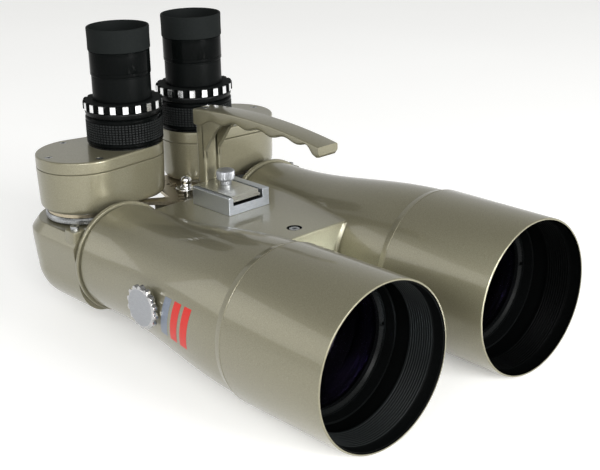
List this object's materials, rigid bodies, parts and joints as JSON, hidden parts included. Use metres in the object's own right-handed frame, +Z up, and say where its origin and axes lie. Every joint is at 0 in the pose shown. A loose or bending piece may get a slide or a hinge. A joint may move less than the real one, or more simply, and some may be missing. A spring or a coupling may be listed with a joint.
{
  "type": "binoculars",
  "caption": "Large astronomical binoculars with flared barrels, retracting dew shields, right-angle eyepieces on swinging rhomboid turrets, a carrying handle and a finder shoe.",
  "frame": {"origin": "mouth of the tripod thread, on the underside of the base plate", "axes": "-Y is where the objectives look, +Z is up towards the eyepieces, and -X is the user's right"},
  "size_m": [0.2361, 0.328, 0.2003],
  "materials": {
    "body_paint": "gloss, fine metallic olive champagne",
    "black_anodised": "black anodised, satin",
    "baffle_black": "matt black",
    "eyepiece_black": "gloss black",
    "grip_rubber": "matt, waffle pattern",
    "cup_rubber": "matt dark grey",
    "satin_aluminium": "satin, cool tint",
    "bright_steel": "polished",
    "screw_steel": "machined",
    "sector_bronze": "machined",
    "coated_glass": "violet antireflection coating",
    "prism_glass": "polished"
  },
  "bodies": {
    "chassis": {"deck_casting": "body_paint", "right_barrel": "body_paint", "left_barrel": "body_paint", "base_plate": "body_paint", "handle": "body_paint", "assembly_screws": "screw_steel", "finder_shoe": "satin_aluminium", "right_rear_housing": "body_paint", "right_flange_ring": "body_paint", "right_elbow_prism": "prism_glass", "right_prism_cradle": "black_anodised", "right_bearing_ring": "bright_steel", "right_lens_cell": "black_anodised", "right_retaining_ring": "black_anodised", "right_objective_elements": "coated_glass", "right_tube_baffles": "baffle_black", "left_rear_housing": "body_paint", "left_flange_ring": "body_paint", "left_elbow_prism": "prism_glass", "left_prism_cradle": "black_anodised", "left_bearing_ring": "bright_steel", "left_lens_cell": "black_anodised", "left_retaining_ring": "black_anodised", "left_objective_elements": "coated_glass", "left_tube_baffles": "baffle_black"},
    "shoe_clamp": {"shoe_clamp_plate": "satin_aluminium"},
    "shoe_screw": {"shoe_thumbscrew": "satin_aluminium"},
    "ipd_lock": {"ipd_lock_knob": "bright_steel"},
    "right_shield": {"right_dew_shield": "body_paint", "right_ridged_baffle": "baffle_black"},
    "right_turret_unit": {"right_turret": "body_paint", "right_turret_cover": "body_paint", "right_cover_screws": "screw_steel", "right_rhomboid_prism": "prism_glass", "right_ipd_sector": "sector_bronze", "right_focuser_base": "black_anodised"},
    "right_collar": {"right_focus_collar": "grip_rubber"},
    "right_holder": {"right_drawtube": "black_anodised"},
    "right_clamp": {"right_clamp_ring": "satin_aluminium"},
    "right_eyepiece_unit": {"right_eyepiece": "eyepiece_black", "right_eyecup": "cup_rubber", "right_eyepiece_lenses": "coated_glass"},
    "right_knob_lead": {"right_knob_stud": "screw_steel"},
    "right_knob": {"right_side_knob": "satin_aluminium"},
    "left_shield": {"left_dew_shield": "body_paint", "left_ridged_baffle": "baffle_black"},
    "left_turret_unit": {"left_turret": "body_paint", "left_turret_cover": "body_paint", "left_cover_screws": "screw_steel", "left_rhomboid_prism": "prism_glass", "left_ipd_sector": "sector_bronze", "left_focuser_base": "black_anodised"},
    "left_collar": {"left_focus_collar": "grip_rubber"},
    "left_holder": {"left_drawtube": "black_anodised"},
    "left_clamp": {"left_clamp_ring": "satin_aluminium"},
    "left_eyepiece_unit": {"left_eyepiece": "eyepiece_black", "left_eyecup": "cup_rubber", "left_eyepiece_lenses": "coated_glass"},
    "left_knob_lead": {"left_knob_stud": "screw_steel"},
    "left_knob": {"left_side_knob": "satin_aluminium"}
  },
  "joints": [
    {"name": "right_shield_slide", "type": "slide", "parent": "chassis", "child": "right_shield", "axis": [0, 1, 0], "range_m": [0, 0.035]},
    {"name": "right_turret_swing", "type": "hinge", "parent": "chassis", "child": "right_turret_unit", "pos_m": [-0.06685, 0.113, 0.08], "axis": [0, 0, 1], "range_deg": [0, 36]},
    {"name": "right_focus_turn", "type": "hinge", "parent": "right_turret_unit", "child": "right_collar", "pos_m": [-0.03178, 0.1103, 0.129], "axis": [0, 0, 1], "range_deg": [0, 320]},
    {"name": "right_focus_travel", "type": "slide", "parent": "right_turret_unit", "child": "right_holder", "axis": [0, 0, 1], "range_m": [0, 0.008]},
    {"name": "right_clamp_turn", "type": "hinge", "parent": "right_holder", "child": "right_clamp", "pos_m": [-0.03178, 0.1103, 0.147], "axis": [0, 0, 1], "range_deg": [0, 60]},
    {"name": "right_eyepiece_pull", "type": "slide", "parent": "right_holder", "child": "right_eyepiece_unit", "axis": [0, 0, 1], "range_m": [0, 0.03]},
    {"name": "right_knob_lead_slide", "type": "slide", "parent": "chassis", "child": "right_knob_lead", "axis": [-1, 0, 0], "range_m": [0, 0.0075]},
    {"name": "right_knob_turn", "type": "hinge", "parent": "right_knob_lead", "child": "right_knob", "pos_m": [-0.115, -0.014, 0.0532], "axis": [-1, 0, 0], "range_deg": [0, 2160]},
    {"name": "left_shield_slide", "type": "slide", "parent": "chassis", "child": "left_shield", "axis": [0, 1, 0], "range_m": [0, 0.035]},
    {"name": "left_turret_swing", "type": "hinge", "parent": "chassis", "child": "left_turret_unit", "pos_m": [0.06685, 0.113, 0.08], "axis": [0, 0, 1], "range_deg": [-36, 0]},
    {"name": "left_focus_turn", "type": "hinge", "parent": "left_turret_unit", "child": "left_collar", "pos_m": [0.03178, 0.1103, 0.129], "axis": [0, 0, 1], "range_deg": [0, 320]},
    {"name": "left_focus_travel", "type": "slide", "parent": "left_turret_unit", "child": "left_holder", "axis": [0, 0, 1], "range_m": [0, 0.008]},
    {"name": "left_clamp_turn", "type": "hinge", "parent": "left_holder", "child": "left_clamp", "pos_m": [0.03178, 0.1103, 0.147], "axis": [0, 0, 1], "range_deg": [0, 60]},
    {"name": "left_eyepiece_pull", "type": "slide", "parent": "left_holder", "child": "left_eyepiece_unit", "axis": [0, 0, 1], "range_m": [0, 0.03]},
    {"name": "left_knob_lead_slide", "type": "slide", "parent": "chassis", "child": "left_knob_lead", "axis": [1, 0, 0], "range_m": [0, 0.0075]},
    {"name": "left_knob_turn", "type": "hinge", "parent": "left_knob_lead", "child": "left_knob", "pos_m": [0.115, -0.014, 0.0532], "axis": [1, 0, 0], "range_deg": [0, 2160]},
    {"name": "shoe_clamp_travel", "type": "slide", "parent": "chassis", "child": "shoe_clamp", "axis": [0, 0, -1], "range_m": [0, 0.0016]},
    {"name": "shoe_screw_turn", "type": "hinge", "parent": "shoe_clamp", "child": "shoe_screw", "pos_m": [0, 0.039, 0.1], "axis": [0, 0, -1], "range_deg": [0, 720]},
    {"name": "ipd_lock_turn", "type": "hinge", "parent": "chassis", "child": "ipd_lock", "pos_m": [0, 0.084, 0.085], "axis": [0, 0, 1], "range_deg": [0, 90]}
  ],
  "couplings": [
    {"joint": "right_focus_turn", "follows": "right_focus_travel", "rad_per_m": 698},
    {"joint": "right_knob_turn", "follows": "right_knob_lead_slide", "rad_per_m": 5026},
    {"joint": "left_focus_turn", "follows": "left_focus_travel", "rad_per_m": 698},
    {"joint": "left_knob_turn", "follows": "left_knob_lead_slide", "rad_per_m": 5026},
    {"joint": "left_turret_swing", "follows": "right_turret_swing", "ratio": -1},
    {"joint": "shoe_screw_turn", "follows": "shoe_clamp_travel", "rad_per_m": 7850}
  ]
}
